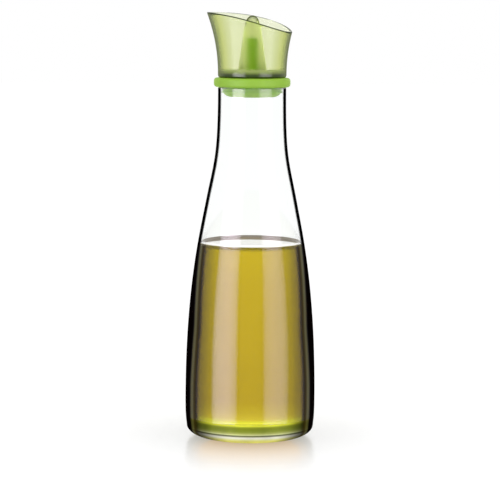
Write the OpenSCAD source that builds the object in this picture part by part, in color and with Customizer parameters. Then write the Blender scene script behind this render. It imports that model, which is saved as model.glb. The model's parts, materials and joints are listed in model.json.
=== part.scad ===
// Glass oil bottle with a drip-return pourer.
// Millimetres, +Z up, origin on the axis at table height, pouring towards +X.
// The pourer is a silicone stopper in the neck, a tube standing in it, and a flared cup
// with a hooded spout, whose spigot pushes into the stopper.

/* [Bottle] */
// Radius of the body at its widest ring
body_r = 39; // [36:0.1:44]
// Height of the widest ring above the table
body_z = 24; // [20:1:34]
// Radius where the belly curve turns into the neck curve
shoulder_r = 27.6; // [25:0.1:31]
// Height of that turn
shoulder_z = 140; // [120:1:155]
// Lean of the wall there, in degrees from upright
shoulder_lean = 10.8; // [8:0.1:14]
// Outer radius of the neck at the rim
neck_r = 20.3; // [19:0.1:23]
// Height of the glass rim
glass_h = 210.1; // [195:0.1:230]
// Thickness of the blown wall
glass_wall = 1.9; // [1.5:0.1:2.6]
// Rounding of the rim's two edges
rim_round = 0.6; // [0.3:0.05:0.7]

/* [Base] */
// Thickness of the heavy base
base_t = 5.2; // [4:0.1:8]
// Radius of the flat floor inside
floor_r = 27; // [24:0.5:29]
// Outer radius of the ring that the bottle stands on
foot_r = 24; // [22:0.5:26]
// Width of that standing ring
foot_w = 4; // [2:0.5:6]
// Height of the hollow under the base
punt_h = 1.2; // [0.6:0.1:2.5]
// Height where the heel's rounding meets the wall
heel_z = 6.5; // [5:0.5:9]
// How far the heel lies inside the widest ring
heel_in = 0.9; // [0.5:0.1:2]
// Lean of the wall at the heel, in degrees from upright
heel_lean = 7; // [3:1:10]

/* [Oil] */
// Height of the oil's surface above the table
oil_z = 117; // [60:1:150]
// Gap between the oil and the glass
oil_gap = 0.05; // [0.03:0.01:0.1]

/* [Stopper] */
// How far the flange reaches out beyond the glass
flange_over = 2.5; // [2:0.1:4]
// Thickness of the flange
flange_t = 5.5; // [4:0.1:8]
// Rounding of the flange's edges
flange_round = 1.8; // [1:0.1:1.9]
// Depth of the plug below the rim
plug_d = 5.9; // [5.5:0.1:10]
// Gap between the plug's side and the neck
plug_gap = 0.6; // [0.4:0.05:1]
// Width of the plug's rounded side, in plan
bowl_w = 5.8; // [4.5:0.1:6]
// Gap between the sealing lips and the neck
lip_gap = 0.08; // [0.05:0.01:0.1]
// Thickness of a sealing lip
lip_t = 0.5; // [0.4:0.05:0.7]
// Distance from the rim to a lip, and from one lip to the next
lip_pitch = 1.6; // [1.3:0.1:2]
// Number of sealing lips
lip_n = 2; // [1:1:3]
// Thickness of the web across the stopper's bottom
web_t = 2; // [1.5:0.1:2.5]
// Radius of a drain hole in the web
drain_r = 1.5; // [1.2:0.1:1.8]
// Number of drain holes
drain_n = 6; // [4:1:7]

/* [Tube] */
// Outer radius of the tube inside the spout
tube_r = 3.45; // [3:0.05:3.6]
// Wall of the tube
tube_wall = 1.2; // [0.9:0.1:1.4]
// Gap between the tube and its hole in the web
tube_gap = 0.05; // [0.03:0.01:0.1]
// Distance from the start of the hood down to the tube's end
tube_drop = 3.3; // [2:0.1:12]
// Width of the collar that the tube rests on
collar_w = 1.2; // [0.8:0.1:1.5]
// Thickness of the collar
collar_t = 1; // [0.6:0.1:1.2]

/* [Cup] */
// Width of the flange's ledge that shows round the cup's base
ledge_w = 2.4; // [2:0.1:4]
// How far the flare leans out beyond the cup's base
flare_w = 7.5; // [5:0.1:10]
// Height over which the flare does so
flare_h = 40.4; // [38:0.1:46]
// Lean of the flare at its top, in degrees from upright
flare_lean = 21.5; // [15:0.5:28]
// Wall of the cup
cup_wall = 1.3; // [1:0.1:1.6]
// Thickness of the cup's floor
cup_floor = 3; // [2:0.1:3.6]
// Rounding of the cup's lower edge
cup_round = 1.6; // [0.5:0.1:2]
// Rounding where the cup's floor meets its wall inside
well_round = 2.1; // [1:0.1:3]
// Height of the rim above the cup's underside, at the axis
rim_h = 35.3; // [33:0.1:38]
// Slope of the rim at the axis, in degrees
rim_tilt = 13.4; // [8:0.1:18]
// Radius of the arch that the rim follows from its high side to its low side
rim_arch = 126; // [110:1:200]

/* [Spout] */
// Radius of the spout at the cup's floor
spout_r = 8.7; // [8:0.1:9.5]
// Radius of the spout where its hood begins
hood_r = 5.4; // [5.2:0.1:6]
// Height of the hood's start above the cup's underside
hood_z = 26.8; // [25:0.1:29]
// Height of the hood
hood_h = 10; // [9:0.1:12]
// Wall of the spout
spout_wall = 1.1; // [0.9:0.1:1.2]
// Radius of the mouth in the hood's side
mouth_r = 2.2; // [1.6:0.1:2.4]
// Angle that the mouth points up from level
mouth_rise = 45; // [30:1:55]
// Height above the hood's start where the mouth's line leaves the axis
mouth_up = 2.6; // [2:0.1:3.5]
// Outer radius of the spigot below the cup
spigot_r = 10.6; // [10:0.1:10.8]
// Wall of the spigot
spigot_wall = 1.4; // [1:0.1:1.6]
// Gap between the spigot and the stopper's bore
spigot_gap = 0.05; // [0.03:0.01:0.1]
// Gap between the spigot's end and the web below it
spigot_end_gap = 0.4; // [0.2:0.1:0.8]
// Width of a drip-return slot at the spout's foot
slot_w = 3; // [2:0.1:4]
// Height of a drip-return slot
slot_h = 2.4; // [1.5:0.1:3.5]

/* [Hidden] */
$fn = 128;
// How far a cutter reaches past what it cuts
past = 1;

// How full the curves are: each curve's two handles, as shares of its own span
heel_full = [0.63, 0.54];
well_full = [0.84, 0.9];
belly_full = [0.555, 0.155];
neck_full = [0.4, 0.62];
bowl_full = [0.6, 0.7];
flare_full = [0.32, 0.36];
hood_full = [0.55, 0.67];
heel_steps = 8;
wall_steps = 18;

// Places that several pieces share
neck_bore = neck_r - glass_wall;
flange_r = neck_r + flange_over;
cup_r = flange_r - ledge_w;
cup_z = glass_h + flange_t;
plug_z = glass_h - plug_d;
web_z = plug_z + web_t;
brow_z = cup_z + hood_z;

// A point on a cubic curve, and the curve's direction there
function bez(p, t) = pow(1 - t, 3) * p[0] + 3 * pow(1 - t, 2) * t * p[1]
    + 3 * (1 - t) * t * t * p[2] + pow(t, 3) * p[3];
function bez_dir(p, t) = let (d = pow(1 - t, 2) * (p[1] - p[0])
    + 2 * (1 - t) * t * (p[2] - p[1]) + t * t * (p[3] - p[2])) d / norm(d);
// Points along a curve that climbs, moved inwards by an inset
function bez_pts(p, n, inset = 0) = [for (i = [0 : n])
    let (d = bez_dir(p, i / n)) bez(p, i / n) + inset * [-d[1], d[0]]];
// Points on an arc about a centre
function arc(c, r, a0, a1, n) = [for (i = [0 : n])
    let (a = a0 + (a1 - a0) * i / n) c + r * [cos(a), sin(a)]];
// A unit step up a wall that leans in from upright by an angle
function up(lean) = [-sin(lean), cos(lean)];
function tail(v) = [for (i = [1 : len(v) - 1]) v[i]];
function reversed(v) = [for (i = [len(v) - 1 : -1 : 0]) v[i]];

// The bottle's outline is four curves: heel, lower wall, belly and neck
heel = [body_r - heel_in, heel_z];
waist = [body_r, body_z];
shoulder = [shoulder_r, shoulder_z];
heel_curve = [[foot_r, 0], [foot_r + heel_full[0] * (heel[0] - foot_r), 0],
    heel - heel_full[1] * heel_z * up(-heel_lean), heel];
lower_curve = [heel, heel + (waist - heel)[1] / 3 * up(-heel_lean),
    waist - [0, (waist - heel)[1] / 2], waist];
belly_curve = [waist, waist + [0, belly_full[0] * (shoulder - waist)[1]],
    shoulder - belly_full[1] * (shoulder - waist)[1] * up(shoulder_lean), shoulder];
neck_curve = [shoulder, shoulder + neck_full[0] * (glass_h - shoulder_z) * up(shoulder_lean),
    [neck_r, glass_h - neck_full[1] * (glass_h - shoulder_z)], [neck_r, glass_h]];

// The hollow inside, set in from the outline, with a rounded floor. The inset is the
// wall for the glass, and the wall and a gap for the oil.
function hollow(inset) = let (
    floor_z = base_t + inset - glass_wall,
    side = [body_r - inset, body_z],
    well = [[floor_r, floor_z], [floor_r + well_full[0] * (side[0] - floor_r), floor_z],
        side - [0, well_full[1] * (body_z - floor_z)], side])
    concat([[0, floor_z]], bez_pts(well, heel_steps),
        tail(bez_pts(belly_curve, wall_steps, inset)),
        tail(bez_pts(neck_curve, wall_steps, inset)));

module glass_bottle() {
    rim_z = glass_h - rim_round;
    punt = [[0, punt_h], [(foot_r - foot_w) / 2, punt_h * 0.75], [foot_r - foot_w, 0]];
    inner = [for (p = hollow(glass_wall)) if (p[1] < rim_z) p];
    outer = [for (p = concat(bez_pts(heel_curve, heel_steps), tail(bez_pts(lower_curve, 4)),
        tail(bez_pts(belly_curve, wall_steps)), tail(bez_pts(neck_curve, wall_steps))))
        if (p[1] < rim_z) p];
    rim = concat(arc([neck_r - rim_round, rim_z], rim_round, 0, 90, 4),
        arc([neck_bore + rim_round, rim_z], rim_round, 90, 180, 4));
    color([0.86, 0.94, 0.92, 0.35])
        rotate_extrude()
            polygon(concat(punt, outer, rim, reversed(inner)));
}

module oil() {
    color([0.74, 0.64, 0.14, 0.85])
        intersection() {
            rotate_extrude()
                polygon(concat(hollow(glass_wall + oil_gap), [[0, glass_h]]));
            cylinder(r = body_r, h = oil_z);
        }
}

// The stopper's outside: a bowl-shaped plug under a rounded flange
module stopper_body() {
    plug_r = neck_bore - plug_gap;
    bowl = [[plug_r - bowl_w, plug_z], [plug_r - (1 - bowl_full[0]) * bowl_w, plug_z],
        [plug_r, glass_h - bowl_full[1] * plug_d], [plug_r, glass_h]];
    edge_r = flange_r - flange_round;
    rotate_extrude()
        polygon(concat([[0, plug_z]], bez_pts(bowl, heel_steps),
            arc([edge_r, glass_h + flange_round], flange_round, -90, 0, 6),
            arc([edge_r, cup_z - flange_round], flange_round, 0, 90, 6), [[0, cup_z]]));
    for (i = [1 : lip_n])
        translate([0, 0, glass_h - i * lip_pitch])
            cylinder(r = neck_bore - lip_gap, h = lip_t);
}

module stopper() {
    drain_ring = (tube_r + collar_w + spigot_r - spigot_wall) / 2;
    color([0.52, 0.74, 0.22])
        difference() {
            stopper_body();
            translate([0, 0, web_z])
                cylinder(r = spigot_r + spigot_gap, h = cup_z - web_z + past);
            translate([0, 0, plug_z - past])
                cylinder(r = tube_r + tube_gap, h = web_t + 2 * past);
            for (i = [0 : drain_n - 1])
                rotate(360 * i / drain_n)
                    translate([drain_ring, 0, plug_z - past])
                        cylinder(r = drain_r, h = web_t + 2 * past);
        }
}

// The tube stands in the web's hole on a collar and ends inside the spout
module pour_tube() {
    length = brow_z - tube_drop - plug_z;
    color([0.42, 0.64, 0.2])
        difference() {
            union() {
                translate([0, 0, plug_z])
                    cylinder(r = tube_r, h = length);
                translate([0, 0, web_z])
                    cylinder(r = tube_r + collar_w, h = collar_t);
            }
            translate([0, 0, plug_z - past])
                cylinder(r = tube_r - tube_wall, h = length + 2 * past);
        }
}

// Everything below the cup's rim: a big arch across the cup that falls towards +X
module under_rim() {
    translate([0, 0, cup_z + rim_h])
        rotate([0, rim_tilt, 0])
            translate([0, 0, -rim_arch])
                rotate([90, 0, 0])
                    cylinder(r = rim_arch, h = 4 * flange_r, center = true);
}

// The flared cup, cut off along its rim
module cup_shell() {
    wall_z = cup_z + cup_round;
    floor_z = cup_z + cup_floor;
    top = [cup_r + flare_w, cup_z + flare_h];
    flare = [[cup_r, wall_z], [cup_r, wall_z + flare_full[0] * flare_h],
        top - flare_full[1] * flare_h * up(-flare_lean), top];
    well_z = floor_z + well_round;
    inner = [for (p = bez_pts(flare, wall_steps, cup_wall)) if (p[1] > well_z) p];
    intersection() {
        rotate_extrude()
            polygon(concat([[0, cup_z]],
                arc([cup_r - cup_round, wall_z], cup_round, -90, 0, 5),
                tail(bez_pts(flare, wall_steps)), reversed(inner),
                arc([inner[0][0] - well_round, well_z], well_round, 0, -90, 5),
                [[0, floor_z]]));
        under_rim();
    }
}

// The spout's outline from the cup's floor to the top of its hood, set in by an inset
function spout_side(inset) = let (
    foot = [spout_r, cup_z + cup_floor],
    brow = [hood_r, brow_z],
    lean = atan((foot - brow)[0] / (brow - foot)[1]),
    hood = [brow, brow + hood_full[0] * hood_h * up(lean),
        [hood_full[1] * hood_r, brow_z + hood_h], [0, brow_z + hood_h]])
    concat([foot - [inset, 0]], bez_pts(hood, heel_steps, inset));

// Spigot and spout in one
module spout_body() {
    spigot_z = web_z + spigot_end_gap;
    join_z = cup_z + cup_floor / 2;
    rotate_extrude()
        polygon(concat([[0, spigot_z], [spigot_r, spigot_z], [spigot_r, join_z],
            [spout_r, join_z]], spout_side(0)));
}

// The way through for the oil, from the spigot's open end to inside the hood
module spout_bore() {
    side = spout_side(spout_wall);
    spigot_bore = spigot_r - spigot_wall;
    rotate_extrude()
        polygon(concat([[0, plug_z], [spigot_bore, plug_z], [spigot_bore, cup_z],
            [side[0][0], cup_z]], side));
}

// The mouth, a round hole that opens the hood up towards +X
module mouth() {
    translate([0, 0, brow_z + mouth_up])
        rotate([0, 90 - mouth_rise, 0])
            cylinder(r = mouth_r, h = spout_r);
}

// Slots that let drips on the cup's floor run back into the spout's foot
module drip_slots() {
    for (a = [90, 180, 270])
        rotate(a)
            translate([0, -slot_w / 2, cup_z + cup_floor])
                cube([spout_r + past, slot_w, slot_h]);
}

module pourer_cup() {
    color([0.66, 0.75, 0.3, 0.7])
        difference() {
            union() {
                cup_shell();
                spout_body();
            }
            spout_bore();
            mouth();
            drip_slots();
        }
}

glass_bottle();
oil();
stopper();
pour_tube();
pourer_cup();
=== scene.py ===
"""Looks of the oil bottle: blown glass, oil with its meniscus, silicone stopper, tinted pourer cup.

Sizes come first, then the sections of the turned pieces, their meshes, the node trees, the materials of
each sub-part, and at the end the part and the studio are put together. Sections are (radius, height)
points in millimetres, as in the CAD part, and become metres in lathe().
"""

import json
import math

import bmesh
import bpy
from mathutils import Matrix, Vector

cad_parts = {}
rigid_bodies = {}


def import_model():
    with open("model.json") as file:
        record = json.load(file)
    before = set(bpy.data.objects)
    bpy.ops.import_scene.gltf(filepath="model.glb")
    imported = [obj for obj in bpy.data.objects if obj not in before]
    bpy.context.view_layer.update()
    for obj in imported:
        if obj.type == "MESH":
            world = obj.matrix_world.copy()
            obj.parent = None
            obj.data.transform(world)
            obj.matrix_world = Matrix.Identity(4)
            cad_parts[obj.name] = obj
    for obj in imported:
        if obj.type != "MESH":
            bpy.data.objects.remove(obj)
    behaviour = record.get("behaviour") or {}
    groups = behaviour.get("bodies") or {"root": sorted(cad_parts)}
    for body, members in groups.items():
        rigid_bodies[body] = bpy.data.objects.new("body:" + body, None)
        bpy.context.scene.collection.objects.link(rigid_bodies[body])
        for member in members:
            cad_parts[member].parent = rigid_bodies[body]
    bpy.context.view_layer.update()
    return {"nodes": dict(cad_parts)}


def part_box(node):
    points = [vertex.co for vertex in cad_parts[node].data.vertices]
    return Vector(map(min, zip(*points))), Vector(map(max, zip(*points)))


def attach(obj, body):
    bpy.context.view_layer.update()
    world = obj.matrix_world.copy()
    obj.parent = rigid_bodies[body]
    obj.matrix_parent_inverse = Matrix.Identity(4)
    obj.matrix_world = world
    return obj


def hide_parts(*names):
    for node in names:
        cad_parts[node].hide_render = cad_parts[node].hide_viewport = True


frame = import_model()

MM = 0.001
LOW, HIGH = 0, 1  # the corners of a box
X, Z = 0, 2  # the axes of a corner


def from_frame(node, corner, axis):
    """Where one side of a CAD node's box lies, in mm."""
    return round(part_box(node)[corner][axis] / MM, 3)


# What the frame gives: the bottle's widest radius and its height, the oil's level, the stopper's flange
# and top, and the end of the cup's spigot
BODY_R = from_frame("glass_bottle", HIGH, X)
GLASS_H = from_frame("glass_bottle", HIGH, Z)
OIL_Z = from_frame("oil", HIGH, Z)
FLANGE_R = from_frame("stopper", HIGH, X)
CUP_Z = from_frame("stopper", HIGH, Z)
SPIGOT_END = from_frame("pourer_cup", LOW, Z)

# The bottle's other sizes in mm and degrees, as in the CAD part: widest ring, shoulder, neck, wall and rim
BODY_Z = 24.0
SHOULDER_R, SHOULDER_Z, SHOULDER_LEAN = 27.6, 140.0, 10.8
FLANGE_OVER = 2.5
NECK_R = FLANGE_R - FLANGE_OVER
GLASS_WALL, RIM_ROUND = 1.9, 0.6
# Its base: the floor inside, the ring it stands on, the hollow under it and the rounded heel
BASE_T, FLOOR_R = 5.2, 27.0
FOOT_R, FOOT_W, PUNT_H = 24.0, 4.0, 1.2
HEEL_Z, HEEL_IN, HEEL_LEAN = 6.5, 0.9, 7.0

# The cup: its base, flare, walls, roundings and slanting rim
LEDGE_W = 2.4
CUP_R = FLANGE_R - LEDGE_W
FLARE_W, FLARE_H, FLARE_LEAN = 7.5, 40.4, 21.5
CUP_WALL, CUP_FLOOR, CUP_ROUND, WELL_ROUND = 1.3, 3.0, 1.6, 2.1
RIM_H, RIM_TILT, RIM_ARCH = 35.3, 13.4, 126.0
# The spout in it, with its mouth, the slots at its foot and the spigot below the cup
SPOUT_R, SPOUT_WALL = 8.7, 1.1
HOOD_R, HOOD_Z, HOOD_H = 5.4, 26.8, 10.0
MOUTH_R, MOUTH_RISE, MOUTH_UP = 2.2, 45.0, 2.6
SLOT_W, SLOT_H, SLOT_ANGLES = 3.0, 2.4, (90, 180, 270)
SPIGOT_R, SPIGOT_WALL = 10.6, 1.4

# How full the curves are: each curve's two handles, as shares of its own span
HEEL_FULL, WELL_FULL = (0.63, 0.54), (0.84, 0.9)
BELLY_FULL, NECK_FULL = (0.555, 0.155), (0.4, 0.62)
FLARE_FULL, HOOD_FULL = (0.32, 0.36), (0.55, 0.67)

# What only the drawn pieces have, in mm
SKIN = 0.03  # how far the drawn glass stays inside the solid's own outline
PUNT_POWER = 2.2  # the hollow under the base is flat in the middle and falls off by this power
OIL_SINK = 0.06  # how far the oil reaches into the glass, so that no air shows between them
OIL_EDGE = 0.2  # the oil's side ends this far below the top of its meniscus
MENISCUS_RISE, MENISCUS_WIDTH = 1.4, 1.1  # the oil climbs the glass this high, and less further in
LIP_ROUND = 0.65  # rounding of the cup's rim
FOOT_FILLET = 1.0  # rounding where the spout meets the cup's floor
FLOOR_RING_R = 15.0  # a ring of points halfway out on that floor
WELL_END = 0.075  # share of the flare's curve where the floor's rounding ends
SPOUT_RINGS = (0.12, 0.35, 0.6, 0.85)  # rings of points, as shares of the way up the spout
SPIGOT_EDGE = 0.3  # bevel of the spigot's end
SLOT_FROM, SLOT_PAST, SLOT_LIFT = 3.6, 1.3, 0.02  # a slot's cutter: start, reach past the spout, lift

# Where the looks change, painted light and shade among them, in mm
EMPTY_EDGE = 1.75  # width of the bare wall's painted dark outline (painted shade), where light is trapped in the glass
WATERLINE = 1.0  # the change at the oil's surface reaches this far up and down
NARROWS_FROM, NARROWS_TO = 70.0, OIL_Z  # the filled bottle's painted dark sides (painted shade) draw back on the way up
NARROWS_BELOW, NARROWEST_AT = 65.0, 35.0  # and on the way down
BASE_TOP = 13.2  # the top of the painted light and shade bands on the thick base
NEAR_TABLE, OFF_TABLE = 2.0, 7.0  # the base's sides get more painted shade towards the table
OIL_TOP = OIL_Z + 3  # the oil's colours are given up to here
MENISCUS_FOOT, MENISCUS_FADE = OIL_Z + 0.05, 0.15  # the raised edge's mirror and painted shade start here and fade in
EDGE_FROM, EDGE_TO = CUP_Z + 1.6, CUP_Z + 4.8  # the painted shade on the edge of the cup's floor fades out
GLOW_TO = CUP_Z + 5.8  # the painted glow on the rounding above it ends
HOOD_DARK_FROM, HOOD_DARK_TO = CUP_Z + HOOD_Z + 4, CUP_Z + HOOD_Z + 7  # the hood's outline gets its painted shade between these heights

# The camera: azimuth, pitch and roll in degrees, distance and height in metres, and its lens, which is
# given in pixels of a picture this wide
CAMERA_AZIMUTH, CAMERA_PITCH, CAMERA_ROLL = 16.0, 6.205, 0.4
CAMERA_DISTANCE, CAMERA_HEIGHT, FAR_CLIP = 1.357, 0.260, 50.0
FOCAL_PIXELS, PICTURE_PIXELS, SENSOR_WIDTH, SIDE_SHIFT = 2275.0, 500, 36.0, -0.002

# Lamps in mirrored pairs, in metres and degrees from the camera's own side: a soft key that lights, and
# a strip that only shows in reflections
KEY = {
    "azimuth": 44.0, "height": 0.7, "distance": 1.6, "size": (1.2, 1.6), "aim_z": 0.13,
    "unseen_by": ("camera", "glossy", "transmission"),
}
STRIP = {
    "azimuth": 47.0, "height": 0.4, "distance": 1.3, "size": (1.25, 3.0), "aim_z": 0.4,
    "unseen_by": ("camera", "diffuse", "transmission"),
}
KEY_POWER, STRIP_POWER = 7.0, {"left": 125.0, "right": 76.0}
TABLE_R, SHEEN_REACH = 6.0, 0.175  # the white table, and how far from the axis its sheen goes

# How finely it is drawn
SEGMENTS = 160  # round the axis
PUNT_STEPS, HEEL_STEPS, LOWER_STEPS, WALL_STEPS = 10, 20, 8, 44
FLAT_STEPS, SURFACE_STEPS = 6, 24
INSIDE_STEPS, OUTSIDE_STEPS, HOOD_STEPS, LIP_STEPS = 24, 26, 18, 8
ROUND_STEPS, FILLET_STEPS, MOUTH_STEPS, TABLE_STEPS = 6, 5, 48, 64
HALVINGS = 30  # rounds of halving that find the rim on the flare
SHARP_FROM = 38  # edges are smooth up to this angle in degrees
CLOSE = 1e-4  # points nearer to each other than this in mm are one


# ---------------------------------------------------------------- sections


def point(r, z):
    return Vector((r, z))


def shares(n):
    """Even steps from 0 to 1."""
    return [i / n for i in range(n + 1)]


def up(lean):
    """A unit step up a wall that leans in from upright by an angle in degrees."""
    return point(-math.sin(math.radians(lean)), math.cos(math.radians(lean)))


def bezier(handles, t, inset=0.0):
    """A point on a cubic curve that climbs, moved inwards by an inset."""
    a, b, c, d = handles
    u = 1 - t
    on = u**3 * a + 3 * u * u * t * b + 3 * u * t * t * c + t**3 * d
    way = (u * u * (b - a) + 2 * u * t * (c - b) + t * t * (d - c)).normalized()
    return on + inset * point(-way.y, way.x)


def curve(handles, n, inset=0.0):
    return [bezier(handles, s, inset) for s in shares(n)]


def arc(centre, r, start, end, n):
    """Points from one angle to another in degrees."""
    angles = [math.radians(start + (end - start) * s) for s in shares(n)]
    return [centre + r * point(math.cos(a), math.sin(a)) for a in angles]


def join(*runs):
    """One run of points from several, without doubled points."""
    out = []
    for run in runs:
        for p in run:
            if not out or (p - out[-1]).length > CLOSE:
                out.append(p)
    return out


# The bottle's outline is four curves, as in the CAD part: heel, lower wall, belly and neck
HEEL = point(BODY_R - HEEL_IN, HEEL_Z)
WAIST = point(BODY_R, BODY_Z)
SHOULDER = point(SHOULDER_R, SHOULDER_Z)
HEEL_CURVE = [
    point(FOOT_R, 0),
    point(FOOT_R + HEEL_FULL[0] * (HEEL.x - FOOT_R), 0),
    HEEL - HEEL_FULL[1] * HEEL_Z * up(-HEEL_LEAN),
    HEEL,
]
LOWER_CURVE = [
    HEEL,
    HEEL + (BODY_Z - HEEL_Z) / 3 * up(-HEEL_LEAN),
    WAIST - point(0, (BODY_Z - HEEL_Z) / 2),
    WAIST,
]
BELLY_CURVE = [
    WAIST,
    WAIST + point(0, BELLY_FULL[0] * (SHOULDER_Z - BODY_Z)),
    SHOULDER - BELLY_FULL[1] * (SHOULDER_Z - BODY_Z) * up(SHOULDER_LEAN),
    SHOULDER,
]
NECK_CURVE = [
    SHOULDER,
    SHOULDER + NECK_FULL[0] * (GLASS_H - SHOULDER_Z) * up(SHOULDER_LEAN),
    point(NECK_R, GLASS_H - NECK_FULL[1] * (GLASS_H - SHOULDER_Z)),
    point(NECK_R, GLASS_H),
]


def hollow(inset):
    """The inside of the bottle from its floor's middle up to the rim, set in from the outline."""
    floor_z = BASE_T + inset - GLASS_WALL
    side = point(BODY_R - inset, BODY_Z)
    well = [
        point(FLOOR_R, floor_z),
        point(FLOOR_R + WELL_FULL[0] * (side.x - FLOOR_R), floor_z),
        side - point(0, WELL_FULL[1] * (BODY_Z - floor_z)),
        side,
    ]
    flat = [point(FLOOR_R * s, floor_z) for s in shares(FLAT_STEPS)]
    walls = [curve(run, WALL_STEPS, inset) for run in (BELLY_CURVE, NECK_CURVE)]
    return join(flat, curve(well, HEEL_STEPS), *walls)


def bottle_runs():
    """The glass's closed section as named runs, from the axis under the base to the axis inside."""
    rim_z = GLASS_H - RIM_ROUND
    neck_bore = NECK_R - GLASS_WALL
    foot_in = FOOT_R - FOOT_W
    punt = [point(foot_in * s, PUNT_H * (1 - s**PUNT_POWER)) for s in shares(PUNT_STEPS)]
    walls = ((LOWER_CURVE, LOWER_STEPS), (BELLY_CURVE, WALL_STEPS), (NECK_CURVE, WALL_STEPS))
    outer = join(curve(HEEL_CURVE, HEEL_STEPS)[:-1], *(curve(run, n, SKIN) for run, n in walls))
    outer = [p for p in outer if p.y < rim_z]
    inner = [p for p in hollow(GLASS_WALL) if p.y < rim_z]
    rim = join(
        arc(point(NECK_R - RIM_ROUND, rim_z), RIM_ROUND, 0, 90, ROUND_STEPS),
        arc(point(neck_bore + RIM_ROUND, rim_z), RIM_ROUND, 90, 180, ROUND_STEPS),
    )
    wet = [p for p in inner if p.y < OIL_Z + MENISCUS_RISE]
    dry = inner[len(wet) :]
    return [
        ("under", join(punt, [point(FOOT_R, 0)])),
        ("outer", outer),
        ("dry", rim + dry[::-1]),
        ("wet", wet[::-1]),
    ]


def oil_runs():
    """The oil: the hollow up to the meniscus, which climbs the glass a little."""
    top = OIL_Z + MENISCUS_RISE
    side = [p for p in hollow(GLASS_WALL - OIL_SINK) if p.y < top - OIL_EDGE]
    wall_r = side[-1].x
    surface = []
    for s in shares(SURFACE_STEPS):
        r = wall_r * (1 - s * s)
        surface.append(point(r, OIL_Z + MENISCUS_RISE * math.exp(-(wall_r - r) / MENISCUS_WIDTH)))
    return [("side", side), ("surface", surface)]


FLOOR_Z = CUP_Z + CUP_FLOOR
FLARE_START = point(CUP_R, CUP_Z + CUP_ROUND)
FLARE_TOP = point(CUP_R + FLARE_W, CUP_Z + FLARE_H)
FLARE = [
    FLARE_START,
    FLARE_START + point(0, FLARE_FULL[0] * FLARE_H),
    FLARE_TOP - FLARE_FULL[1] * FLARE_H * up(-FLARE_LEAN),
    FLARE_TOP,
]
BROW = point(HOOD_R, CUP_Z + HOOD_Z)
SPOUT_FOOT = point(SPOUT_R, FLOOR_Z)
SPOUT_LEAN = math.degrees(math.atan((SPOUT_FOOT.x - BROW.x) / (BROW.y - SPOUT_FOOT.y)))
HOOD = [
    BROW,
    BROW + HOOD_FULL[0] * HOOD_H * up(SPOUT_LEAN),
    point(HOOD_FULL[1] * HOOD_R, BROW.y + HOOD_H),
    point(0, BROW.y + HOOD_H),
]


def rim_height(x):
    """Height of the cup's rim at a distance along X: an arch that falls towards +X."""
    tilt = math.radians(RIM_TILT)
    centre = point(-RIM_ARCH * math.sin(tilt), CUP_Z + RIM_H - RIM_ARCH * math.cos(tilt))
    return centre.y + math.sqrt(RIM_ARCH**2 - (x - centre.x) ** 2)


def flare_at_rim(angle, inset, drop):
    """How far along the flare the rim lies at an angle round the cup, or a drop below it."""
    low, high = 0.5, 1.0  # the rim lies on the flare's upper half
    for _ in range(HALVINGS):
        middle = (low + high) / 2
        p = bezier(FLARE, middle, inset)
        if p.y < rim_height(p.x * math.cos(angle)) - drop:
            low = middle
        else:
            high = middle
    return (low + high) / 2


def lip(angle):
    """The rounded rim at an angle, from the inside to the outside."""
    points = []
    for s in reversed(shares(LIP_STEPS)):
        drop = LIP_ROUND * (1 - math.sqrt(1 - (2 * s - 1) ** 2))
        inset = s * CUP_WALL
        points.append(bezier(FLARE, flare_at_rim(angle, inset, drop), inset))
    return points


def spout_runs():
    """The spout's outside from the hood's top down, and the bore from the spigot up to that top."""
    run_up = [SPOUT_FOOT + (BROW - SPOUT_FOOT) * s for s in SPOUT_RINGS]
    fillet_at = point(SPOUT_R + FOOT_FILLET, FLOOR_Z + FOOT_FILLET)
    fillet = arc(fillet_at, FOOT_FILLET, 180, 270, FILLET_STEPS)
    outside = join(join(run_up, curve(HOOD, HOOD_STEPS))[::-1], fillet)
    foot = SPOUT_FOOT - point(SPOUT_WALL, 0)
    top = curve(HOOD, HOOD_STEPS, SPOUT_WALL)
    top[-1] = point(0, top[-1].y)
    bore = join([point(SPIGOT_R - SPIGOT_WALL, CUP_Z), point(foot.x, CUP_Z), foot], top)
    return outside, bore


def cup_runs(angle):
    """The cup's section at an angle, from the top of the hood outside to the top inside it."""
    top_out = flare_at_rim(angle, 0, LIP_ROUND)
    top_in = flare_at_rim(angle, CUP_WALL, LIP_ROUND)
    rise = [WELL_END + (top_in - WELL_END) * s for s in shares(INSIDE_STEPS)]
    inside = [bezier(FLARE, t, CUP_WALL) for t in rise]
    outside = [bezier(FLARE, top_out * s) for s in shares(OUTSIDE_STEPS)]
    well_at = point(inside[0].x - WELL_ROUND, FLOOR_Z + WELL_ROUND)
    well = arc(well_at, WELL_ROUND, -90, 0, ROUND_STEPS)
    edge = arc(point(CUP_R - CUP_ROUND, CUP_Z + CUP_ROUND), CUP_ROUND, 0, -90, ROUND_STEPS)
    spout, bore = spout_runs()
    rim = lip(angle)
    half = LIP_STEPS // 2 + 1
    spigot = [
        point(SPIGOT_R, SPIGOT_END + SPIGOT_EDGE),
        point(SPIGOT_R - SPIGOT_EDGE, SPIGOT_END),
        point(SPIGOT_R - SPIGOT_WALL, SPIGOT_END),
    ]
    return [
        ("spout", spout),
        ("floor", join([point(FLOOR_RING_R, FLOOR_Z)], well)),
        ("inside", inside),
        ("lip_in", rim[:half]),
        ("lip_out", rim[half:]),
        ("outside", outside[::-1]),
        ("under", join(edge, [point(SPIGOT_R, CUP_Z)])),
        ("spigot", spigot),
        ("bore", bore),
    ]


# ---------------------------------------------------------------- meshes


def new_object(name, data):
    obj = bpy.data.objects.new(name, data)
    bpy.context.scene.collection.objects.link(obj)
    return obj


def new_mesh_object(name, verts, faces):
    mesh = bpy.data.meshes.new(name)
    mesh.from_pydata(verts, [], faces)
    return new_object(name, mesh)


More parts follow.
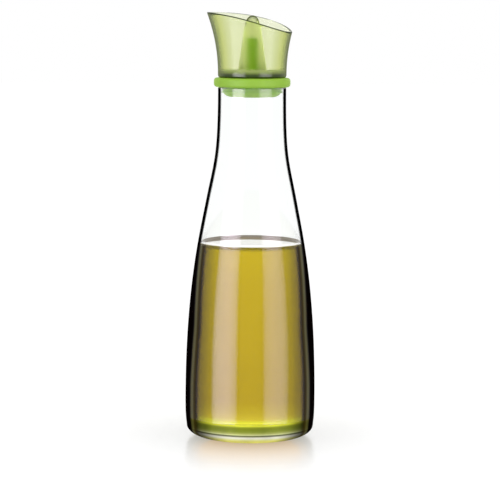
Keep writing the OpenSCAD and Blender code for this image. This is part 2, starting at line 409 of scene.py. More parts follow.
def outward(mesh):
    """Turns every face outwards."""
    work = bmesh.new()
    work.from_mesh(mesh)
    bmesh.ops.recalc_face_normals(work, faces=work.faces)
    work.to_mesh(mesh)
    work.free()


def smooth(mesh):
    mesh.polygons.foreach_set("use_smooth", [True] * len(mesh.polygons))
    mesh.set_sharp_from_angle(angle=math.radians(SHARP_FROM))


def lathe(name, runs_at, body, replaced):
    """A closed piece turned about Z. runs_at(angle) gives the section as named runs.
    Returns it with the name of each face's run."""
    angles = [2 * math.pi * j / SEGMENTS for j in range(SEGMENTS)]
    sections = [runs_at(angle) for angle in angles]
    names = [run for run, points in sections[0] for _ in points]
    rings = [[p for _, points in section for p in points] for section in sections]
    last = len(names) - 1
    verts = [(0, 0, rings[0][0].y * MM), (0, 0, rings[0][last].y * MM)]
    for i in range(1, last):
        for a, ring in zip(angles, rings):
            p = ring[i]
            verts.append((p.x * math.cos(a) * MM, p.x * math.sin(a) * MM, p.y * MM))

    def at(i, j):
        """The vertex at point i of the section and segment j. The first two vertices lie on the axis."""
        if i in (0, last):
            return min(i, 1)
        return 2 + (i - 1) * SEGMENTS + j % SEGMENTS

    faces, zones = [], []
    for i in range(last):
        for j in range(SEGMENTS):
            corners = [at(i, j), at(i, j + 1), at(i + 1, j + 1), at(i + 1, j)]
            faces.append(list(dict.fromkeys(corners)))
            zones.append(names[i])
    obj = new_mesh_object(name, verts, faces)
    outward(obj.data)
    smooth(obj.data)
    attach(obj, body)
    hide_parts(*replaced)
    return obj, zones


def give(obj, zones, materials):
    """Gives a piece its materials by the name of the run; the first is for the runs not named."""
    order = list(materials)
    for name in order:
        obj.data.materials.append(materials[name])
    index = [order.index(z) if z in order else 0 for z in zones]
    obj.data.polygons.foreach_set("material_index", index)
    obj.data.update()


def cut(obj, cutters):
    """Cuts the cutters out of obj for good."""
    for cutter in cutters:
        mod = obj.modifiers.new("cut", "BOOLEAN")
        mod.operation, mod.solver, mod.object = "DIFFERENCE", "EXACT", cutter
    depsgraph = bpy.context.evaluated_depsgraph_get()
    mesh = bpy.data.meshes.new_from_object(obj.evaluated_get(depsgraph))
    obj.modifiers.clear()
    obj.data = mesh
    for cutter in cutters:
        bpy.data.objects.remove(cutter)
    smooth(mesh)


def new_cutter(name, verts, faces, place):
    """A closed form, put in its place by a matrix."""
    obj = new_mesh_object(name, [place @ Vector(v) for v in verts], faces)
    outward(obj.data)
    return obj


def circle(r, n):
    """Points (x, y) round the axis."""
    angles = [2 * math.pi * i / n for i in range(n)]
    return [(r * math.cos(a), r * math.sin(a)) for a in angles]


def mouth_cutter():
    """The mouth's round hole, which opens the hood up towards +X."""
    n, length = MOUTH_STEPS, SPOUT_R * MM
    ring = circle(MOUTH_R * MM, n)
    verts = [(x, y, z) for z in (0, length) for x, y in ring]
    faces = [list(range(n)), list(range(n, 2 * n))]
    faces += [[i, (i + 1) % n, n + (i + 1) % n, n + i] for i in range(n)]
    start = Matrix.Translation((0, 0, (BROW.y + MOUTH_UP) * MM))
    turn = Matrix.Rotation(math.radians(90 - MOUTH_RISE), 4, "Y")
    return new_cutter("mouth_cut", verts, faces, start @ turn)


def slot_cutter(angle):
    """A drip slot at the spout's foot: a box along X, turned about the axis."""
    along = (SLOT_FROM * MM, (SPOUT_R + SLOT_PAST) * MM)
    across = (-SLOT_W / 2 * MM, SLOT_W / 2 * MM)
    upright = ((FLOOR_Z + SLOT_LIFT) * MM, (FLOOR_Z + SLOT_H) * MM)
    verts = [(x, y, z) for x in along for y in across for z in upright]
    ends, sides = [[0, 1, 3, 2], [4, 5, 7, 6]], [[0, 1, 5, 4], [2, 3, 7, 6]]
    faces = ends + sides + [[0, 2, 6, 4], [1, 3, 7, 5]]
    return new_cutter("slot_cut", verts, faces, Matrix.Rotation(math.radians(angle), 4, "Z"))


# ---------------------------------------------------------------- node trees


class Tree:
    """A material's, lamp's or world's node tree, built by short calls. The functions below call it t."""

    def __init__(self, owner):
        owner.use_nodes = True
        self.tree = owner.node_tree
        self.tree.nodes.clear()

    def add(self, kind, values=None, **settings):
        """A new node. Its values are numbers, colours or other nodes' outputs."""
        node = self.tree.nodes.new(kind)
        for key, value in settings.items():
            setattr(node, key, value)
        for key, value in (values or {}).items():
            if isinstance(value, bpy.types.NodeSocket):
                self.tree.links.new(value, node.inputs[key])
            else:
                node.inputs[key].default_value = value
        return node

    def end(self, surface, kind="ShaderNodeOutputMaterial"):
        self.add(kind, {"Surface": surface})

    def math(self, operation, *values, clamp=False):
        node = self.add("ShaderNodeMath", dict(enumerate(values)), operation=operation, use_clamp=clamp)
        return node.outputs[0]

    def vector_math(self, operation, *values):
        return self.add("ShaderNodeVectorMath", dict(enumerate(values)), operation=operation).outputs

    def span(self, value, lo, hi, to_lo=0.0, to_hi=1.0, kind="LINEAR"):
        """Turns the span from lo to hi into the one from to_lo to to_hi, and stops at its ends."""
        values = {"Value": value, "From Min": lo, "From Max": hi, "To Min": to_lo, "To Max": to_hi}
        return self.add("ShaderNodeMapRange", values, interpolation_type=kind, clamp=True).outputs["Result"]

    def ramp(self, value, stops):
        node = self.add("ShaderNodeValToRGB", {"Fac": value})
        marks = node.color_ramp.elements
        while len(marks) < len(stops):
            marks.new(0.5)
        for mark, (place, colour) in zip(marks, stops):
            mark.position = place
            mark.color = colour
        return node.outputs["Color"]

    def mix(self, fac, first, second):
        """Mixes two shaders."""
        return self.add("ShaderNodeMixShader", {0: fac, 1: first, 2: second}).outputs[0]

    def blend(self, fac, first, second, how="MIX"):
        """Mixes two colours, or multiplies them."""
        values = {0: fac, 6: first, 7: second}
        return self.add("ShaderNodeMix", values, data_type="RGBA", blend_type=how).outputs[2]

    def level(self, fac, first, second):
        """Mixes two numbers."""
        return self.add("ShaderNodeMix", {0: fac, 2: first, 3: second}, data_type="FLOAT").outputs[0]

    def noise(self, scale, detail):
        values = {"Vector": self.place(), "Scale": scale, "Detail": detail}
        return self.add("ShaderNodeTexNoise", values).outputs["Fac"]

    def bump(self, height, distance, strength):
        values = {"Height": height, "Distance": distance, "Strength": strength}
        return self.add("ShaderNodeBump", values).outputs["Normal"]

    def place(self):
        return self.add("ShaderNodeTexCoord").outputs["Object"]

    def height(self):
        return self.add("ShaderNodeSeparateXYZ", {0: self.place()}).outputs[2]

    def from_axis(self):
        """The way from the axis to the place, level with it."""
        return self.vector_math("MULTIPLY", self.place(), (1, 1, 0))[0]

    def radius(self):
        """Distance from the axis in mm."""
        length = self.vector_math("LENGTH", self.from_axis())["Value"]
        return self.math("MULTIPLY", length, 1 / MM)

    def facing(self):
        """0 where the eye looks straight at a face, 1 where it skims it."""
        return self.add("ShaderNodeLayerWeight", {"Blend": 0.5}).outputs["Facing"]

    def squareness(self):
        """1 down the middle of the round body as the eye sees it, 0 at its left and right outline.
        It follows the way out from the axis, so the heel's and shoulder's own slopes don't darken."""
        out = self.vector_math("NORMALIZE", self.from_axis())[0]
        weight = self.add("ShaderNodeLayerWeight", {"Blend": 0.5, "Normal": out})
        return self.math("SUBTRACT", 1.0, weight.outputs["Facing"])

    def share(self):
        """How far out a point is on the round body as the eye sees it: 0 in the middle, 1 outermost."""
        cosine = self.squareness()
        squared = self.math("MULTIPLY", cosine, cosine)
        return self.math("SQRT", self.math("SUBTRACT", 1.0, squared, clamp=True))

    def looks_out(self):
        """1 where the eye looks out through a face, 0 where it looks in."""
        return self.add("ShaderNodeNewGeometry").outputs["Backfacing"]

    def near_side(self, fac):
        """fac on the side nearer to the eye, 0 on the far one."""
        return self.math("MULTIPLY", fac, self.math("SUBTRACT", 1.0, self.looks_out()))

    def ray(self, kind):
        return self.add("ShaderNodeLightPath").outputs[f"Is {kind} Ray"]

    def seen(self):
        """1 for the rays that show a background: camera, glossy and transmission rays."""
        camera, glossy, transmission = (self.ray(k) for k in ("Camera", "Glossy", "Transmission"))
        return self.math("MAXIMUM", self.math("MAXIMUM", camera, glossy), transmission)


def srgb(r, g, b):
    """A linear colour from 0-255 screen values."""

    def linear(c):
        c /= 255
        return c / 12.92 if c <= 0.04045 else ((c + 0.055) / 1.055) ** 2.4

    return (linear(r), linear(g), linear(b), 1.0)


def bands(*stops, top):
    """Ramp stops from heights in mm, for a ramp that runs up to top."""
    return [(z / top, (*colour, 1)) for z, colour in stops]


def passing(*stops):
    """Ramp stops from shares of light let through. A clear shader takes the root of its colour."""
    return [(place, (r * r, g * g, b * b, 1)) for place, (r, g, b) in stops]


def shades(*stops):
    return [(place, (v, v, v, 1)) for place, v in stops]


# ---------------------------------------------------------------- shaders

# How strongly clear surfaces reflect: the bare wall and the filled one show the lamps, the inner ones
# hardly do
BARE_GLOSS = (0.86, 0.74, 0.9, 1)
OUTER_GLOSS = (0.38, 0.33, 0.57, 1)
INNER_GLOSS = (0.03, 0.03, 0.03, 1)
NOISE_SPAN = (0.3, 0.7)  # what most of a noise lies between


def material(name):
    made = bpy.data.materials.new(name)
    return made, Tree(made)


def end_clear(t, shader, shadow_tint):
    """Ends the tree of a clear piece. Shadow and diffuse rays go straight through it, tinted, so that
    it throws a light shadow."""
    through = t.add("ShaderNodeBsdfTransparent", {"Color": shadow_tint}).outputs[0]
    rays = t.math("MAXIMUM", t.ray("Shadow"), t.ray("Diffuse"))
    t.end(t.mix(rays, shader, through))


def see_through(t, tint, ior, rough, gloss=INNER_GLOSS, far=None, normal=None):
    """A clear shader. far is its tint where the eye looks out through the piece, and reflects little."""
    values = {"Base Color": tint, "Roughness": rough, "IOR": ior, "Transmission Weight": 1.0}
    if normal is not None:
        values["Normal"] = normal
    front = t.add("ShaderNodeBsdfPrincipled", {**values, "Specular Tint": gloss}).outputs[0]
    if far is None:
        return front
    values.update({"Base Color": far, "Specular Tint": INNER_GLOSS})
    back = t.add("ShaderNodeBsdfPrincipled", values).outputs[0]
    return t.mix(t.looks_out(), front, back)


def solid(t, colour, gloss=0.0, rough=0.2):
    """An opaque cover over a clear piece. It carries the painted light, shade and reflection, and the look
    of thick tinted edges through which hardly anything comes.
    """
    values = {"Base Color": colour, "Roughness": rough, "Specular IOR Level": gloss}
    return t.add("ShaderNodeBsdfPrincipled", values).outputs[0]


# ---------------------------------------------------------------- glass

CLEAR = (0.985, 0.995, 0.99, 1)
GLASS_IOR, GLASS_ROUGH = 1.5, 0.02
GLASS_SHADOW = (0.97, 0.98, 0.975, 1)

# The painted dark outline of the bare wall (painted shade)
EDGE_SOFTNESS, BARE_OUTLINE_SHADE = 0.35, (0.001, 0.001, 0.001, 1)

# The filled bottle from its middle (0) to its outline (1): what the oil lets through, which near the
# outline is painted shade, how much of a painted dark cover (painted shade) it has, and that cover's
# colour. Worked out from the photo's pixels across both outlines
SIDE_TINTS_AND_SHADE = passing(
    (0.15, (1, 1, 1)),
    (0.40, (0.90, 0.89, 0.8)),
    (0.60, (0.71, 0.73, 0.55)),
    (0.70, (0.49, 0.50, 0.35)),
    (0.77, (0.35, 0.35, 0.2)),
    (0.79, (0.24, 0.22, 0.1)),
    (0.805, (0.12, 0.11, 0.04)),
    (0.82, (0.03, 0.025, 0.01)),
    (0.86, (0.03, 0.02, 0.01)),
)
SIDE_SHADES = shades(
    (0.74, 0), (0.79, 0.1), (0.805, 0.25), (0.82, 0.55), (0.84, 0.85), (0.855, 0.8),
    (0.87, 0.6), (0.885, 0.5), (0.9, 0.75), (0.915, 0.98), (0.93, 1),
)
SIDE_SHADE_COLOURS = [
    (0.82, (0.02, 0.012, 0.001, 1)),
    (0.855, (0.045, 0.032, 0.003, 1)),
    (0.88, (0.15, 0.14, 0.03, 1)),
    (0.91, (0.002, 0.001, 0.001, 1)),
]

NARROWING_UP, NARROWING_DOWN = 0.045, 0.02  # how far the painted dark sides draw back, as shares

# Painted light and shade on the thick base from the side, by height in mm: a painted reflection of the lit
# table, the foot's edge in painted shade, and oil in the glass. Worked out from the photo's pixel rows
# there
BASE_PAINTED_BANDS = bands(
    (2.4, (1.0, 0.93, 0.20)),
    (3.8, (1.0, 0.98, 0.48)),
    (4.5, (1.0, 1.0, 0.88)),
    (5.2, (1.0, 0.98, 0.84)),
    (5.9, (0.14, 0.15, 0.08)),
    (6.4, (0.13, 0.14, 0.07)),
    (6.8, (0.80, 0.85, 0.42)),
    (7.5, (0.48, 0.52, 0.14)),
    (8.7, (0.26, 0.32, 0.03)),
    (10.2, (0.22, 0.27, 0.01)),
    (11.2, (0.26, 0.31, 0.01)),
    (12.0, (0.62, 0.66, 0.04)),
    (12.6, (0.95, 0.97, 0.06)),
    top=BASE_TOP,
)
# How much of the base the painted bands cover, up its height
BASE_PAINT_COVER = shades((0.95, 0.92), (1.0, 0.0))
# Painted shade: the base is darker towards the outline, which was worked out from single pixels, more so
# near the table, and a little uneven at random
BASE_SIDE_SHADE = shades((0.50, 1), (0.62, 0.8), (0.72, 0.42), (0.82, 0.15), (0.92, 0.08))
PAINTED_SHADE_BY_TABLE, BASE_MOTTLE = 0.1, (0.84, 1.1)
# Painted reflection: the colours of the base and the dark sides where the glossy table mirrors them
PAINTED_BASE_REFLECTION = (1.0, 0.52, 0.02, 1)
PAINTED_SIDES_REFLECTION = (0.55, 0.52, 0.45, 1)


def ripple(t):
    """The faint waves of blown glass."""
    return t.bump(t.noise(scale=28.0, detail=1.0), distance=0.0001, strength=0.015)


def inner_glass(name, gloss):
    made, t = material(name)
    clear = see_through(t, CLEAR, GLASS_IOR, GLASS_ROUGH, gloss, normal=ripple(t))
    end_clear(t, clear, GLASS_SHADOW)
    return made


def painted_outline_mask(t):
    """1 where the eye looks along the inside of the bare wall, 0 elsewhere: the mask of its painted dark
    outline.
    That is where the chord through the round wall misses the hollow."""
    cosine = t.squareness()
    depth = t.math("MULTIPLY", t.math("MULTIPLY", cosine, cosine), t.radius())
    walls = t.math("DIVIDE", depth, 2.0 * EMPTY_EDGE)
    return t.span(walls, 1 - EDGE_SOFTNESS / 2, 1 + EDGE_SOFTNESS / 2, 1.0, 0.0)


def painted_side_share(t, height):
    """How far out a point is on the filled bottle, for the painted dark sides that draw back at both ends.
    """
    top = t.span(height, NARROWS_FROM * MM, NARROWS_TO * MM, 0.0, NARROWING_UP)
    base = t.span(height, NARROWEST_AT * MM, NARROWS_BELOW * MM, NARROWING_DOWN, 0.0)
    return t.math("SUBTRACT", t.share(), t.math("ADD", top, base))


def painted_base(t, height, up_base, mirrored):
    """The thick base in painted light and shade, with its painted reflection in the table. up_base is the
    share of its height, and mirrored is 1 for what the table shows.
    """
    by_table = t.span(height, NEAR_TABLE * MM, OFF_TABLE * MM, PAINTED_SHADE_BY_TABLE, 0.0)
    sides = t.ramp(t.math("ADD", t.share(), by_table), BASE_SIDE_SHADE)
    colour = t.blend(1.0, t.ramp(up_base, BASE_PAINTED_BANDS), sides, "MULTIPLY")
    mottle = t.span(t.noise(scale=90.0, detail=2.0), *NOISE_SPAN, *BASE_MOTTLE)
    colour = t.blend(1.0, colour, mottle, "MULTIPLY")
    return solid(t, t.blend(mirrored, colour, PAINTED_BASE_REFLECTION))


def outer_glass():
    """The outside: bare above the oil's surface with a painted dark outline, tinted below it with painted
    dark sides, and painted bands on the base.
    """
    made, t = material("glass_outside")
    height = t.height()
    filled = t.span(height, (OIL_Z - WATERLINE) * MM, (OIL_Z + WATERLINE) * MM, 1.0, 0.0)
    side = painted_side_share(t, height)
    waves = ripple(t)
    bare = see_through(t, CLEAR, GLASS_IOR, GLASS_ROUGH, BARE_GLOSS, CLEAR, waves)
    wet = see_through(t, t.ramp(side, SIDE_TINTS_AND_SHADE), GLASS_IOR, GLASS_ROUGH, OUTER_GLOSS, CLEAR, waves)
    clear = t.mix(filled, bare, wet)
    mirrored = t.ray("Glossy")
    # The painted bands of the base: painted light, shade and reflection of the table, on the near side only
    up_base = t.math("DIVIDE", height, BASE_TOP * MM)
    cover = t.near_side(t.ramp(up_base, BASE_PAINT_COVER))
    look = t.mix(cover, clear, painted_base(t, height, up_base, mirrored))
    # The colour of the painted shade on the outline and the sides, with its painted reflection in the
    # table, and how much of it covers them
    dark = t.blend(filled, BARE_OUTLINE_SHADE, t.ramp(side, SIDE_SHADE_COLOURS))
    dark = t.blend(mirrored, dark, PAINTED_SIDES_REFLECTION)
    shade = t.level(filled, painted_outline_mask(t), t.ramp(side, SIDE_SHADES))
    end_clear(t, t.mix(shade, look, solid(t, dark)), GLASS_SHADOW)
    return made


# ---------------------------------------------------------------- oil

OIL_IOR = 1.47
OIL_SHADOW, SURFACE_SHADOW = (0.985, 0.96, 0.9, 1), (0.99, 0.98, 0.92, 1)

# The oil's colour by height in mm, where the eye goes into it and where it comes out at the back: its own
# golden tint, with painted light in the clear bands near the base and painted shade in the dark line just
# under its surface. Worked out from the photo's pixels down its middle
OIL_IN_TINT_LIGHT_SHADE = bands(
    (9, (0.90, 0.92, 0.50)),
    (12, (0.72, 0.66, 0.01)),
    (14.4, (0.74, 0.68, 0.004)),
    (15.6, (0.55, 0.38, 0.003)),
    (16.8, (0.48, 0.30, 0.003)),
    (20, (0.39, 0.245, 0.003)),
    (26, (0.385, 0.26, 0.003)),
    (30, (0.41, 0.285, 0.003)),
    (44, (0.42, 0.295, 0.003)),
    (60, (0.475, 0.335, 0.003)),
    (90, (0.52, 0.37, 0.003)),
    (OIL_Z - 7, (0.56, 0.41, 0.003)),
    (OIL_Z - 2.6, (0.54, 0.40, 0.003)),
    (OIL_Z - 1.8, (0.28, 0.22, 0.003)),
    (OIL_Z - 1.1, (0.10, 0.08, 0.01)),
    top=OIL_TOP,
)
OIL_OUT_TINT_AND_LIGHT = bands(
    (6, (1.0, 1.0, 0.36)),
    (7.6, (0.90, 0.85, 0.16)),
    (10.7, (0.77, 0.67, 0.04)),
    (13.7, (0.67, 0.55, 0.01)),
    (16.8, (0.58, 0.42, 0.004)),
    (20, (0.52, 0.36, 0.003)),
    (90, (0.52, 0.37, 0.003)),
    (OIL_Z, (0.57, 0.42, 0.003)),
    top=OIL_TOP,
)

# The oil's raised edge shines like a mirror, and on the surface's side has a painted shade over it
MIRROR, MIRROR_ROUGH = (0.97, 0.96, 0.95, 1), 0.02
PAINTED_EDGE_SHADE, MENISCUS_COVER = (0.25, 0.22, 0.17, 1), 0.95
# The surface, by how much the eye skims it, from 0 to 1: golden up to one share and clear from the next
# on, and a mirror between two others
SURFACE_TINT, SURFACE_GLOSS = (0.85, 0.78, 0.45, 1), (1, 1, 1, 1)
GOLDEN, GOLDEN_TO, GOLDEN_GONE, GOLDEN_COVER = (0.50, 0.37, 0.01, 1), 0.68, 0.84, 0.9
SKIMMED_FROM, SKIMMED_TO, SKIMMED_COVER = 0.8, 0.9, 0.85


def mirror(t):
    return t.add("ShaderNodeBsdfGlossy", {"Color": MIRROR, "Roughness": MIRROR_ROUGH}).outputs[0]


def raised_edge(t):
    """How much of the meniscus's mirror and painted shade a point has."""
    top = MENISCUS_FOOT + MENISCUS_FADE
    return t.span(t.height(), MENISCUS_FOOT * MM, top * MM, 0.0, MENISCUS_COVER)


def oil_side():
    made, t = material("oil_side")
    up_oil = t.math("DIVIDE", t.height(), OIL_TOP * MM)
    oil = see_through(t, t.ramp(up_oil, OIL_IN_TINT_LIGHT_SHADE), OIL_IOR, 0.0, INNER_GLOSS, t.ramp(up_oil, OIL_OUT_TINT_AND_LIGHT))
    end_clear(t, t.mix(raised_edge(t), oil, mirror(t)), OIL_SHADOW)
    return made


def oil_surface():
    """Golden from above, a mirror of the white room and of its own edge where the eye only skims it, and a
    painted shade on its raised edge.
    """
    made, t = material("oil_surface")
    facing = t.facing()
    oil = see_through(t, SURFACE_TINT, OIL_IOR, 0.0, SURFACE_GLOSS, CLEAR)
    golden = t.span(facing, GOLDEN_TO, GOLDEN_GONE, GOLDEN_COVER, 0.0)
    oil = t.mix(golden, oil, solid(t, GOLDEN, gloss=0.12, rough=0.05))
    skimmed = t.span(facing, SKIMMED_FROM, SKIMMED_TO, 0.0, SKIMMED_COVER)
    oil = t.mix(skimmed, oil, mirror(t))
    oil = t.mix(raised_edge(t), oil, solid(t, PAINTED_EDGE_SHADE))
    end_clear(t, oil, SURFACE_SHADOW)
    return made


# ---------------------------------------------------------------- cup

CUP_IOR, CUP_ROUGH, SPOUT_ROUGH = 1.5, 0.1, 0.5
CUP_SHADOW = (0.86, 0.9, 0.55, 1)
CUP_TINT, FAR_RIM_TINT = (0.84, 0.87, 0.66, 1), (0.6, 0.63, 0.5, 1)
CUP_GLOSS = (0.07, 0.07, 0.07, 1)

# The cup from its middle (0) to its outline (1): what the tinted plastic lets through, and how much of a
# painted dark cover (painted shade) it has. Worked out from single pixels of the photo
CUP_SIDES = passing(
    (0.50, (0.917, 0.933, 0.812)),
    (0.73, (0.776, 0.802, 0.473)),
    (0.81, (0.693, 0.728, 0.331)),
    (0.90, (0.523, 0.576, 0.218)),
    (0.96, (0.301, 0.343, 0.17)),
)
CUP_SHADES = shades((0.80, 0), (0.90, 0.35), (0.96, 0.75), (1.0, 0.9))

# Its thick edges: painted shade on the walls' outline, a dark green on the rim and the floor's edge that is
# the thick tint deepened by painted shade, a painted glow on the rounding over that, and painted shade on
# the hood's outline, which lies where the eye skims the hood by between these shares
OUTLINE_SHADE_OLIVE = (0.16, 0.19, 0.07, 1)
THICK_EDGE_SHADE_GREEN, RIM_COVER, EDGE_COVER = (0.022, 0.042, 0.003, 1), 0.85, 0.96
PAINTED_GLOW_GREEN, PAINTED_GLOW_COVER = (0.62, 0.68, 0.27, 1), 0.42
HOOD_SHADE_GREEN, HOOD_COVER, HOOD_OUTLINE = (0.09, 0.11, 0.03, 1), 0.95, (0.34, 0.50)


def cup_clear(t, tint=CUP_TINT, rough=CUP_ROUGH, gloss=INNER_GLOSS, far=None):
    """The tinted plastic, with the unevenness of a moulded face."""
    uneven = t.bump(t.noise(scale=60.0, detail=4.0), distance=0.0001, strength=0.3)
    return see_through(t, tint, CUP_IOR, rough, gloss, far, uneven)


def cup_outside(t):
    """The walls, with painted shade at their outline and along the edge of the cup's floor, and a painted
    glow above that edge.
    """
    share = t.share()
    walls = cup_clear(t, t.ramp(share, CUP_SIDES), gloss=CUP_GLOSS, far=CUP_TINT)
    # A painted glow (painted light) on the near side of the floor's rounding
    glow = t.near_side(t.span(t.height(), EDGE_TO * MM, GLOW_TO * MM, PAINTED_GLOW_COVER, 0.0))
    walls = t.mix(glow, walls, solid(t, PAINTED_GLOW_GREEN))
    floor_edge = t.span(t.height(), EDGE_FROM * MM, EDGE_TO * MM, EDGE_COVER, 0.0, "SMOOTHSTEP")
    look = t.mix(floor_edge, walls, solid(t, THICK_EDGE_SHADE_GREEN, gloss=0.28, rough=0.1))
    return t.mix(t.ramp(share, CUP_SHADES), look, solid(t, OUTLINE_SHADE_OLIVE))


def cup_rim(t):
    # The front rim's dark green: the thick tint, deepened by painted shade
    return t.mix(RIM_COVER, cup_clear(t), solid(t, THICK_EDGE_SHADE_GREEN))


def cup_far_rim(t):
    return cup_clear(t, FAR_RIM_TINT)


def cup_spout(t):
    """Blurred plastic, with painted shade round the hood's outline."""
    hood = t.span(t.height(), HOOD_DARK_FROM * MM, HOOD_DARK_TO * MM, 0.0, HOOD_COVER)
    outline = t.math("MULTIPLY", t.span(t.facing(), *HOOD_OUTLINE), hood)
    return t.mix(outline, cup_clear(t, rough=SPOUT_ROUGH), solid(t, HOOD_SHADE_GREEN))


def cup_material(name, look):
    """A material of the tinted plastic. look(t) gives its shader."""
    made, t = material(name)
    end_clear(t, look(t), CUP_SHADOW)
    return made


# ---------------------------------------------------------------- silicone

# Colour and the slightly darker one of its mottling, in 0-255 screen values
STOPPER_GREENS = (158, 201, 70), (152, 195, 66)
TUBE_GREENS = (174, 216, 108), (166, 208, 100)
SILICONE_ROUGH = (0.42, 0.56)


def silicone(name, colour, shade):
    """Soft matt silicone, finely grained."""
    made, t = material(name)
    mottle = t.noise(scale=180.0, detail=5.0)
    grain = t.noise(scale=2600.0, detail=2.0)
    look = {
        "Base Color": t.ramp(mottle, list(zip(NOISE_SPAN, (srgb(*shade), srgb(*colour))))),
        "Roughness": t.span(grain, *NOISE_SPAN, *SILICONE_ROUGH),
        "IOR": 1.42,
        "Specular IOR Level": 0.15,
        "Subsurface Weight": 0.25,
        "Subsurface Radius": (0.6, 1.0, 0.3),
        "Subsurface Scale": 0.002,
        "Normal": t.bump(grain, distance=0.00003, strength=0.4),
    }
    t.end(t.add("ShaderNodeBsdfPrincipled", look).outputs[0])
    return made


# ---------------------------------------------------------------- the part


def dress_bottle():
    section = bottle_runs()
    bottle, zones = lathe("bottle_glass", lambda angle: section, "bottle", ["glass_bottle"])
    looks = {
        "wet": inner_glass("glass_in_oil", INNER_GLOSS),
        "dry": inner_glass("glass_inside", BARE_GLOSS),
        "outer": outer_glass(),
    }
    give(bottle, zones, looks)


def dress_oil():
    section = oil_runs()
    oil, zones = lathe("oil_fill", lambda angle: section, "bottle", ["oil"])
    give(oil, zones, {"side": oil_side(), "surface": oil_surface()})


def dress_cup():
    cup, zones = lathe("cup_moulding", cup_runs, "pourer", ["pourer_cup"])
    looks = {
        "inside": cup_material("cup_inside", cup_clear),
        "spout": cup_material("cup_spout", cup_spout),
        "bore": cup_material("cup_bore", cup_spout),
        "outside": cup_material("cup_outside", cup_outside),
        "under": cup_material("cup_foot", cup_outside),
        "lip_out": cup_material("cup_edge", cup_rim),
        "lip_in": cup_material("cup_far_rim", cup_far_rim),
    }
    give(cup, zones, looks)
    cut(cup, [mouth_cutter()] + [slot_cutter(angle) for angle in SLOT_ANGLES])


def dress_silicone():
    """The stopper and the tube are shown as the CAD's own solids."""
    looks = {
        "stopper": silicone("stopper_silicone", *STOPPER_GREENS),
        "pour_tube": silicone("tube_silicone", *TUBE_GREENS),
    }
    for node, look in looks.items():
        mesh = frame["nodes"][node].data
        mesh.materials.clear()
        mesh.materials.append(look)
        smooth(mesh)


# ---------------------------------------------------------------- the studio

ROOM_LEVEL, WHITE = 0.66, (1, 1, 1, 1)  # what plain surfaces get from all round, and the room's colour
TABLE_GREY, TABLE_GLOW = (0.8, 0.8, 0.8, 1), 0.48
SHEEN_AT_FOOT, SHEEN_ROUGH, SHEEN_POWER = 1.08, 0.22, 2.0
STRIP_PROFILE = shades((0.0, 0), (0.12, 0.6), (0.3, 0.95), (0.5, 1), (0.7, 0.95), (0.88, 0.6), (1.0, 0))


def round_the_part(azimuth, distance, height):
    """A place at an azimuth in degrees that starts at -Y and goes towards +X."""
    a = math.radians(azimuth)
    return Vector((distance * math.sin(a), -distance * math.cos(a), height))


def world():
    """A white room, as bright as it can be where it is seen, and dimmer as a light."""
    made = bpy.data.worlds.new("studio")
    bpy.context.scene.world = made
    t = Tree(made)
    strength = t.span(t.seen(), 0, 1, ROOM_LEVEL, 1.0)
    white = t.add("ShaderNodeBackground", {"Color": WHITE, "Strength": strength})
    t.end(white.outputs[0], kind="ShaderNodeOutputWorld")


def table_white():
    """White, with a sheen that mirrors the part's foot and fades out with the distance from it."""
    made, t = material("floor_white")
    matt = t.add("ShaderNodeBsdfDiffuse", {"Color": TABLE_GREY}).outputs[0]
    glow = t.add("ShaderNodeEmission", {"Strength": t.math("MULTIPLY", t.seen(), TABLE_GLOW)}).outputs[0]
    both = t.add("ShaderNodeAddShader", {0: matt, 1: glow}).outputs[0]
    sheen = t.add("ShaderNodeBsdfGlossy", {"Roughness": SHEEN_ROUGH}).outputs[0]
    away = t.vector_math("LENGTH", t.place())["Value"]
    fading = t.span(away, FOOT_R * MM, SHEEN_REACH, SHEEN_AT_FOOT, 0.0)
    shining = t.math("POWER", t.math("MULTIPLY", fading, t.facing()), SHEEN_POWER)
    t.end(t.mix(t.math("MULTIPLY", shining, t.seen()), both, sheen))
    return made


def table():
    ring = [(x, y, 0) for x, y in circle(TABLE_R, TABLE_STEPS)]
    obj = new_mesh_object("floor", ring, [list(range(TABLE_STEPS))])
    obj.data.materials.append(table_white())
    obj.visible_glossy = obj.visible_shadow = False  # reflections see the white room below it too


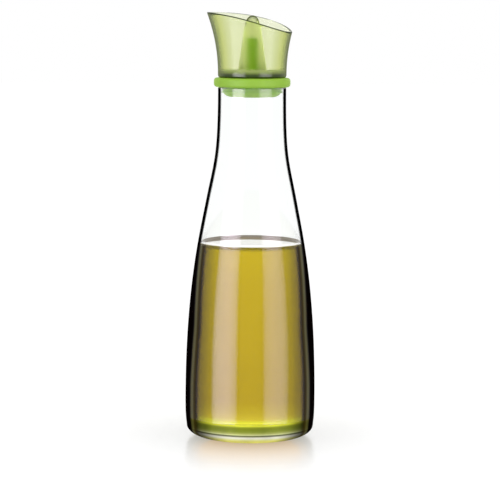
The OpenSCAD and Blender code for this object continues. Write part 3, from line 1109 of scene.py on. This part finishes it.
def area_light(name, side, power, azimuth, height, distance, size, aim_z, unseen_by):
    """A soft light on one side of the camera, -1 or 1, that faces a height on the axis."""
    data = bpy.data.lights.new(name, "AREA")
    data.shape, data.size, data.size_y, data.energy = "RECTANGLE", size[0], size[1], power
    obj = new_object(name, data)
    obj.location = round_the_part(CAMERA_AZIMUTH + side * azimuth, distance, height)
    aim = Vector((0, 0, aim_z)) - obj.location
    obj.rotation_euler = aim.to_track_quat("-Z", "Y").to_euler()
    for ray in unseen_by:
        setattr(obj, "visible_" + ray, False)
    return obj


def fade_to_the_sides(lamp):
    """A soft box that is brightest down its middle."""
    t = Tree(lamp.data)
    over_it = t.add("ShaderNodeNewGeometry").outputs["Parametric"]
    across = t.add("ShaderNodeSeparateXYZ", {0: over_it}).outputs[0]
    light = t.add("ShaderNodeEmission", {"Strength": t.ramp(across, STRIP_PROFILE)})
    t.end(light.outputs[0], kind="ShaderNodeOutputLight")


def lights():
    """Both pairs. The strips light all but the table, whose sheen would show them."""
    lit = bpy.data.collections.new("lit_by_strips")
    for obj in bpy.context.scene.objects:
        if obj.type == "MESH" and obj.name != "floor":
            lit.objects.link(obj)
    for name, side in (("left", -1), ("right", 1)):
        area_light(f"key_{name}", side, KEY_POWER, **KEY)
        strip = area_light(f"strip_{name}", side, STRIP_POWER[name], **STRIP)
        fade_to_the_sides(strip)
        strip.light_linking.receiver_collection = lit


def camera():
    data = bpy.data.cameras.new("camera")
    data.sensor_width = SENSOR_WIDTH
    data.lens = FOCAL_PIXELS / PICTURE_PIXELS * SENSOR_WIDTH
    data.shift_x = SIDE_SHIFT
    data.clip_end = FAR_CLIP
    obj = new_object("camera", data)
    place = Matrix.Translation(round_the_part(CAMERA_AZIMUTH, CAMERA_DISTANCE, CAMERA_HEIGHT))
    turn = Matrix.Rotation(math.radians(CAMERA_AZIMUTH), 4, "Z")
    tip = Matrix.Rotation(math.radians(90 - CAMERA_PITCH), 4, "X")
    roll = Matrix.Rotation(math.radians(CAMERA_ROLL), 4, "Z")
    obj.matrix_world = place @ turn @ tip @ roll
    bpy.context.scene.camera = obj


bpy.context.scene.view_settings.view_transform = "Standard"
dress_bottle()
dress_oil()
dress_cup()
dress_silicone()
world()
table()
lights()
camera()
